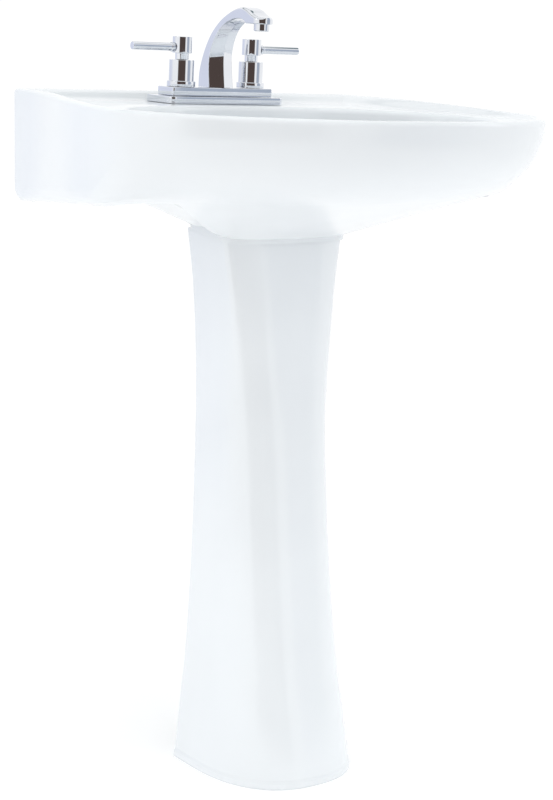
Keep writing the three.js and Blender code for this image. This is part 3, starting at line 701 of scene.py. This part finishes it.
def spout_section(inner, outer, half_width, ridge):
    """Flat sides, two front faces meeting in a ridge, and a crest with soft corners."""
    inner, outer = np.array(inner, float), np.array(outer, float)
    thickness = np.linalg.norm(outer - inner)
    front_corner = min(1.2, half_width / 2)
    crest_corner = min(4.0, half_width / 2)
    half = []
    for share in (0, 0.03, 0.08, 0.3, 0.6, 0.9):
        half.append((share * (half_width - front_corner), -ridge * (1 - share)))
    for degrees in (90, 67, 45, 22, 0):
        angle = math.radians(degrees)
        x = half_width - front_corner * (1 - math.cos(angle))
        half.append((x, front_corner * (1 - math.sin(angle))))
    for share in (0.33, 0.66):
        half.append((half_width, lerp(front_corner, thickness - crest_corner, share)))
    for degrees in (0, 15, 30, 45, 60, 75, 90):
        angle = math.radians(degrees)
        x = half_width - crest_corner * (1 - math.cos(angle))
        half.append((x, thickness - crest_corner * (1 - math.sin(angle))))
    for share in (0.6, 0.3, 0):
        half.append((share * (half_width - crest_corner), thickness))
    whole = half + [(-x, depth) for x, depth in half[-2:0:-1]]
    return [(x, *(inner + (outer - inner) * depth / thickness)) for x, depth in whole]


def head_section(y, half_width):
    back, nose = SPOUT_CREST[0][0], SPOUT_CREST[-1][0]
    crest = spline(SPOUT_CREST, (y - back) / (nose - back))[1]
    return spout_section((y, SPOUT_SEAT), (y, crest), half_width, 0)


def spout():
    steps = 60
    rings = []
    for i in range(steps + 1):
        share = i / steps
        half_width = lerp(SPOUT_FOOT_HALF, SPOUT_HEAD_HALF, smooth(share * 1.3))
        ridge = lerp(6.5, 0.5, smooth(share * 1.2 - 0.2))
        inner = spline(SPOUT_INNER, share)
        outer = spline(SPOUT_OUTER, share)
        rings.append(spout_section(inner, outer, half_width, ridge))
    for y in (-79, -82, -85, -88, AERATOR_Y):
        rings.append(head_section(y, SPOUT_HEAD_HALF))
    for degrees in range(8, 81, 8):
        angle = math.radians(degrees)
        y = AERATOR_Y - SPOUT_HEAD_HALF * math.sin(angle)
        rings.append(head_section(y, SPOUT_HEAD_HALF * math.cos(angle)))
    piece = loft("spout_chrome", rings, tilted)
    combine(piece, rod("recess", 9.5, 80, 103.3, moved(tilted, 0, AERATOR_Y)))
    return soften(piece, 24)


def aerator_housing():
    profile = [(7.6, 88.7), (8.4, 88.7), (9.2, 89.5), (9.2, 103), (7.6, 103)]
    place = moved(tilted, 0, AERATOR_Y)
    return soften(turned("aerator_chrome", profile, place, radius=0.3, closed=True))


# ---------------------------------------------------------------- valves and handles

VALVE_FOOT = 19.5
BONNET_TOP = 51
NECK_TOP = 58.8
SCREW_HEIGHT = 62.5


def valve_bonnet(water, side):
    """A turned sleeve round the cartridge, with a wider foot."""
    profile = [
        (11.3, VALVE_FOOT), (17.4, VALVE_FOOT), (17.4, 25.9), (15.25, 25.9), (15.25, BONNET_TOP),
        (7.5, BONNET_TOP), (7.5, 47), (11.3, 47),
    ]
    place = moved(tilted, side * HANDLE_SPACING / 2)
    return soften(turned(f"{water}_bonnet_chrome", profile, place, closed=True))


def handle_hub(water, side):
    """A turned hub, bored for its stem, its lever and its set screw."""
    profile = [
        (4.9, BONNET_TOP + GAP), (8.3, BONNET_TOP + GAP), (8.3, NECK_TOP), (12, NECK_TOP),
        (12, HUB_TOP), (0, HUB_TOP),
    ]
    inside = [(0, 70), (4.9, 70), (4.9, BONNET_TOP + GAP)]
    outline = rounded(profile, 0.6) + [np.array(point, float) for point in inside]
    points, faces = lathe(outline, 96)
    x = side * HANDLE_SPACING / 2
    piece = mesh_object(f"{water}_hub_chrome", tilted(points, x), faces)
    turn = Matrix.Rotation(side * math.pi / 2, 3, "Y")
    place = moved(tilted, x, 0, LEVER_HEIGHT)
    combine(piece, rod("lever_bore", LEVER_BORE_RADIUS, 5.8, 14, place, turn))
    turn = Matrix.Rotation(-math.pi / 2, 3, "X")
    place = moved(tilted, x, 0, SCREW_HEIGHT)
    combine(piece, rod("screw_bore", SCREW_BORE_RADIUS, 3, 14, place, turn))
    return soften(piece)


def lever(water, side):
    """A round lever with a collar, lying outwards from its hub."""
    profile = [
        (0, 6.2), (3.8, 6.2), (3.8, 12.3), (5.7, 12.3), (5.7, 16.2), (4.8, 16.9),
        (4.8, LEVER_REACH), (0, LEVER_REACH),
    ]
    points, faces = lathe(rounded(profile, 0.9, 6), 72)
    turn = np.array(Matrix.Rotation(side * math.pi / 2, 3, "Y"))
    points = points @ turn.T + [0, 0, LEVER_HEIGHT]
    piece = mesh_object(f"{water}_lever_chrome", tilted(points, side * HANDLE_SPACING / 2), faces)
    return soften(piece)


# ---------------------------------------------------------------- drain

BOWL_FLOOR = float(deck_z(DRAIN_Y)) - BOWL_DEPTH
FLANGE_TOP = BOWL_FLOOR + 3


def in_drain(points):
    return upright(points, 0, DRAIN_Y)


def drain_flange():
    profile = [
        (15.5, BOWL_FLOOR - 9), (18, BOWL_FLOOR - 9), (18, BOWL_FLOOR + 1), (31, BOWL_FLOOR + 1),
        (31, BOWL_FLOOR + 1.8), (27, FLANGE_TOP), (20, FLANGE_TOP), (17, FLANGE_TOP - 2.5),
        (15.5, FLANGE_TOP - 4),
    ]
    return soften(turned("drain_flange_chrome", profile, in_drain, radius=0.6, closed=True))


def drain_stopper():
    seat = FLANGE_TOP + GAP
    profile = [
        (0, -164), (3.5, -164), (4, -163), (4, seat - 6), (12, seat - 5), (12, seat - 1), (13.2, seat - 1),
        (13.2, seat), (19, seat), (19.4, seat + 1.2), (17, seat + 2.6), (10, seat + 3.8), (0, seat + 4.2),
    ]
    return soften(turned("drain_stopper_chrome", profile, in_drain, radius=0.6))


def tailpiece():
    profile = [(14.7, -318), (15.9, -318), (15.9, -162), (14.7, -162)]
    return soften(turned("tailpiece_chrome", profile, in_drain, radius=0.3, closed=True))


# ---------------------------------------------------------------- materials

RELIEF_DEPTH = 0.0004


def surface(name, colours, roughness, metallic=0.0, scale=30.0, stretch=(1, 1, 1), bump=0.02,
            detail=5.0):
    """A shader whose colour, gloss and height all follow fine noise."""
    material = bpy.data.materials.new(name)
    material.use_nodes = True
    nodes, links = material.node_tree.nodes, material.node_tree.links
    shader = nodes["Principled BSDF"]
    shader.inputs["Metallic"].default_value = metallic
    place = nodes.new("ShaderNodeTexCoord")
    spread = nodes.new("ShaderNodeMapping")
    spread.inputs["Scale"].default_value = stretch
    links.new(place.outputs["Object"], spread.inputs["Vector"])
    noise = nodes.new("ShaderNodeTexNoise")
    noise.inputs["Scale"].default_value = scale
    noise.inputs["Detail"].default_value = detail
    links.new(spread.outputs["Vector"], noise.inputs["Vector"])
    ramp = nodes.new("ShaderNodeValToRGB")
    ramp.color_ramp.elements[0].position = 0.3
    ramp.color_ramp.elements[1].position = 0.7
    ramp.color_ramp.elements[0].color = (*colours[0], 1)
    ramp.color_ramp.elements[1].color = (*colours[1], 1)
    links.new(noise.outputs["Fac"], ramp.inputs["Fac"])
    links.new(ramp.outputs["Color"], shader.inputs["Base Color"])
    gloss = nodes.new("ShaderNodeMapRange")
    gloss.inputs["From Min"].default_value = 0.3
    gloss.inputs["From Max"].default_value = 0.7
    gloss.inputs["To Min"].default_value = roughness[0]
    gloss.inputs["To Max"].default_value = roughness[1]
    links.new(noise.outputs["Fac"], gloss.inputs["Value"])
    links.new(gloss.outputs["Result"], shader.inputs["Roughness"])
    relief = nodes.new("ShaderNodeBump")
    relief.inputs["Strength"].default_value = bump
    relief.inputs["Distance"].default_value = RELIEF_DEPTH
    links.new(noise.outputs["Fac"], relief.inputs["Height"])
    links.new(relief.outputs["Normal"], shader.inputs["Normal"])
    return material


def china():
    """Glazed white china: a glossy glaze with a faint waviness."""
    colours = ((0.77, 0.80, 0.82), (0.79, 0.82, 0.84))
    material = surface("china", colours, (0.14, 0.22), scale=9, bump=0.03, detail=1.5)
    shader = material.node_tree.nodes["Principled BSDF"]
    shader.inputs["Coat Weight"].default_value = 0.2
    shader.inputs["Coat Roughness"].default_value = 0.05
    shader.inputs["Coat IOR"].default_value = 1.5
    return material


def chrome():
    """Polished chrome plate with the slight ripple of polishing."""
    colours = ((0.74, 0.76, 0.80), (0.78, 0.80, 0.84))
    return surface("chrome", colours, (0.035, 0.07), metallic=1.0, scale=22, bump=0.05)


def brass():
    """Machined brass with fine marks round its upright axis."""
    colours = ((0.55, 0.40, 0.17), (0.70, 0.54, 0.26))
    stretch = (1, 1, 14)
    return surface("brass", colours, (0.22, 0.42), metallic=1.0, scale=60, stretch=stretch, bump=0.25)


def steel():
    """Plain steel with short marks round its upright axis."""
    colours = ((0.42, 0.43, 0.44), (0.58, 0.59, 0.60))
    stretch = (1, 1, 4)
    return surface("steel", colours, (0.2, 0.38), metallic=1.0, scale=140, stretch=stretch, bump=0.2)


def rubber():
    """Black rubber, slightly dusty and pitted."""
    colours = ((0.018, 0.018, 0.018), (0.035, 0.035, 0.034))
    return surface("rubber", colours, (0.6, 0.85), scale=220, bump=0.35)


def plastic():
    """Moulded white plastic with a fine grain."""
    colours = ((0.68, 0.68, 0.65), (0.75, 0.75, 0.72))
    return surface("white_plastic", colours, (0.35, 0.5), scale=160, bump=0.15)


# ---------------------------------------------------------------- assembly

finishes = {
    "china": china(),
    "chrome": chrome(),
    "brass": brass(),
    "steel": steel(),
    "rubber": rubber(),
    "white_plastic": plastic(),
}
slot_of = {row["node"]: row["material_slot"] for row in frame["record"]["subparts"]}


def stand_for(piece, node, body="fixture"):
    """The detailed piece takes the node's place, finish and body."""
    piece.data.materials.clear()
    piece.data.materials.append(finishes[slot_of[node]])
    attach(piece, body)
    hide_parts(node)
    return node


replaced = [
    stand_for(basin(), "basin"),
    stand_for(pedestal(), "pedestal"),
    stand_for(base_plate(), "faucet_base_plate"),
    stand_for(body_plate(), "faucet_body"),
    stand_for(spout(), "spout"),
    stand_for(aerator_housing(), "aerator_housing"),
    stand_for(drain_flange(), "drain_flange"),
    stand_for(drain_stopper(), "drain_stopper", "stopper"),
    stand_for(tailpiece(), "tailpiece"),
]
for water, side in (("hot", -1), ("cold", 1)):
    replaced.append(stand_for(valve_bonnet(water, side), f"{water}_valve_bonnet"))
    replaced.append(stand_for(handle_hub(water, side), f"{water}_handle_hub", f"{water}_handle"))
    replaced.append(stand_for(lever(water, side), f"{water}_lever", f"{water}_handle"))

for name, node in frame["nodes"].items():
    if name not in replaced:
        for i in range(len(node.data.materials)):
            node.data.materials[i] = finishes[slot_of[name]]

# ---------------------------------------------------------------- floor, light and camera

FLOOR_RADIUS = 1.8
WORLD_STRENGTH = 1.05
AIM_HEIGHT = 0.65
CAMERA_PLACE = (-1.25753, -1.67845, 0.82048)
CAMERA_DEGREES = (36.298, 9.9, 1.3)
CAMERA_LENS = 81.4

def floor():
    """A pale flat floor, a disc round the sink."""
    material = bpy.data.materials.new("pale_floor")
    material.use_nodes = True
    shader = material.node_tree.nodes["Principled BSDF"]
    shader.inputs["Base Color"].default_value = (0.93, 0.93, 0.93, 1)
    shader.inputs["Roughness"].default_value = 0.9
    shader.inputs["Emission Color"].default_value = (1, 1, 1, 1)
    shader.inputs["Emission Strength"].default_value = 0.15
    count = 96
    angles = np.linspace(0, 2 * math.pi, count, endpoint=False)
    rings = []
    for radius in (0.0001, FLOOR_RADIUS / 2, FLOOR_RADIUS):
        rings.append(np.column_stack((radius * np.sin(angles), radius * np.cos(angles), np.zeros(count))))
    piece = mesh_object("floor", np.concatenate(rings), ring_faces(3, count))
    piece.data.materials.append(material)


def world_azimuth(nodes, links, split):
    """The direction's azimuth as a share: 0.5 is -Y, growing towards -X."""
    azimuth = nodes.new("ShaderNodeMath")
    azimuth.operation = "ARCTAN2"
    for i, axis in enumerate(("X", "Y")):
        flip = nodes.new("ShaderNodeMath")
        flip.operation = "MULTIPLY"
        flip.inputs[1].default_value = -1
        links.new(split.outputs[axis], flip.inputs[0])
        links.new(flip.outputs[0], azimuth.inputs[i])
    share = nodes.new("ShaderNodeMapRange")
    share.inputs["From Min"].default_value = -math.pi
    share.inputs["From Max"].default_value = math.pi
    links.new(azimuth.outputs[0], share.inputs["Value"])
    return share.outputs["Result"]


def colour_bands(nodes, links, value, bands):
    """A colour ramp through bands of (position, colour), the first of them at 0."""
    ramp = nodes.new("ShaderNodeValToRGB")
    elements = ramp.color_ramp.elements
    elements.remove(elements[1])
    elements[0].position = 0
    elements[0].color = (*bands[0][1], 1)
    for position, colour in bands[1:]:
        element = elements.new(position)
        element.color = (*colour, 1)
    links.new(value, ramp.inputs["Fac"])
    return ramp.outputs["Color"]


def mixed(nodes, links, under, colour, factor):
    """The colour laid over what lies under it, by the factor."""
    mix = nodes.new("ShaderNodeMix")
    mix.data_type = "RGBA"
    mix.inputs["B"].default_value = (*colour, 1)
    links.new(factor, mix.inputs["Factor"])
    links.new(under, mix.inputs["A"])
    return mix.outputs["Result"]


def studio_world():
    """White, with bands seen in reflections: a brown room, a grey-blue and a lavender wall."""
    world = bpy.data.worlds.new("studio")
    scene.world = world
    world.use_nodes = True
    nodes, links = world.node_tree.nodes, world.node_tree.links
    place = nodes.new("ShaderNodeTexCoord")
    split = nodes.new("ShaderNodeSeparateXYZ")
    links.new(place.outputs["Generated"], split.inputs["Vector"])
    black = (0, 0, 0)
    white = (1, 1, 1)
    brown = (0.085, 0.062, 0.055)
    greyblue = (0.42, 0.47, 0.56)
    lavender = (0.76, 0.79, 0.91)
    dim_ceiling = (0.10, 0.16, 0.18)
    walls = [
        (-180, white), (-62, white), (-50, greyblue), (-27, greyblue), (-22, white), (-8, white),
        (-2, brown), (60, brown), (66, white), (110, white), (140, lavender), (168, lavender), (179, white),
    ]
    bands = [((degrees + 180) / 360, colour) for degrees, colour in walls]
    room = colour_bands(nodes, links, world_azimuth(nodes, links, split), bands)
    # the bands fade out overhead
    overhead = nodes.new("ShaderNodeMapRange")
    overhead.inputs["From Min"].default_value = 0.35
    overhead.inputs["From Max"].default_value = 0.55
    links.new(split.outputs["Z"], overhead.inputs["Value"])
    room = mixed(nodes, links, room, white, overhead.outputs["Result"])
    # a dim strip of ceiling
    strip = [(0, black), (0.69, black), (0.71, white), (0.76, white), (0.78, black)]
    room = mixed(nodes, links, room, dim_ceiling, colour_bands(nodes, links, split.outputs["Z"], strip))
    # straight behind the sink the camera sees plain white
    direct = nodes.new("ShaderNodeLightPath")
    room = mixed(nodes, links, room, white, direct.outputs["Is Camera Ray"])
    background = nodes["Background"]
    background.inputs["Strength"].default_value = WORLD_STRENGTH
    links.new(room, background.inputs["Color"])


def soft_light(name, place, size, power, reflects):
    """A softbox aimed at the sink; one that does not reflect only fills the shade."""
    lamp = bpy.data.lights.new(name, "AREA")
    lamp.shape = "RECTANGLE"
    lamp.size, lamp.size_y = size
    lamp.energy = power
    holder = bpy.data.objects.new(name, lamp)
    scene.collection.objects.link(holder)
    holder.location = place
    towards = Vector((0, 0, AIM_HEIGHT)) - Vector(place)
    holder.rotation_euler = towards.to_track_quat("-Z", "Y").to_euler()
    holder.visible_glossy = reflects


def camera():
    """The photograph's camera: azimuth from +Y towards +X, pitch down, then roll."""
    azimuth, pitch, roll = (math.radians(d) for d in CAMERA_DEGREES)
    level = Vector((math.sin(azimuth), math.cos(azimuth), 0))
    forward = level * math.cos(pitch) - Vector((0, 0, math.sin(pitch)))
    right = Vector((math.cos(azimuth), -math.sin(azimuth), 0))
    up = right.cross(forward)
    axis_x = math.cos(roll) * right + math.sin(roll) * up
    axis_y = math.cos(roll) * up - math.sin(roll) * right
    lens = bpy.data.cameras.new("camera")
    lens.sensor_fit = "VERTICAL"
    lens.sensor_height = 36
    lens.lens = CAMERA_LENS
    holder = bpy.data.objects.new("camera", lens)
    scene.collection.objects.link(holder)
    matrix = Matrix((axis_x, axis_y, -forward)).transposed().to_4x4()
    matrix.translation = Vector(CAMERA_PLACE)
    holder.matrix_world = matrix
    scene.camera = holder


floor()
studio_world()
soft_light("left_softbox", (-2.0, 0.2, 1.9), (0.5, 0.8), power=1.5, reflects=True)
soft_light("right_softbox", (2.0, -0.9, 1.6), (0.4, 0.9), power=1.5, reflects=True)
soft_light("low_right_fill", (2.1, -2.1, 0.35), (1.2, 0.6), power=13, reflects=False)
soft_light("front_fill", (-0.9, -2.9, 0.5), (1.2, 0.8), power=7, reflects=False)
soft_light("top_fill", (-0.1, -0.6, 2.6), (1.6, 1.2), power=10, reflects=False)
soft_light("left_fill", (-2.6, -0.6, 0.9), (1.0, 1.4), power=13, reflects=False)
camera()
scene.view_settings.view_transform = "Standard"
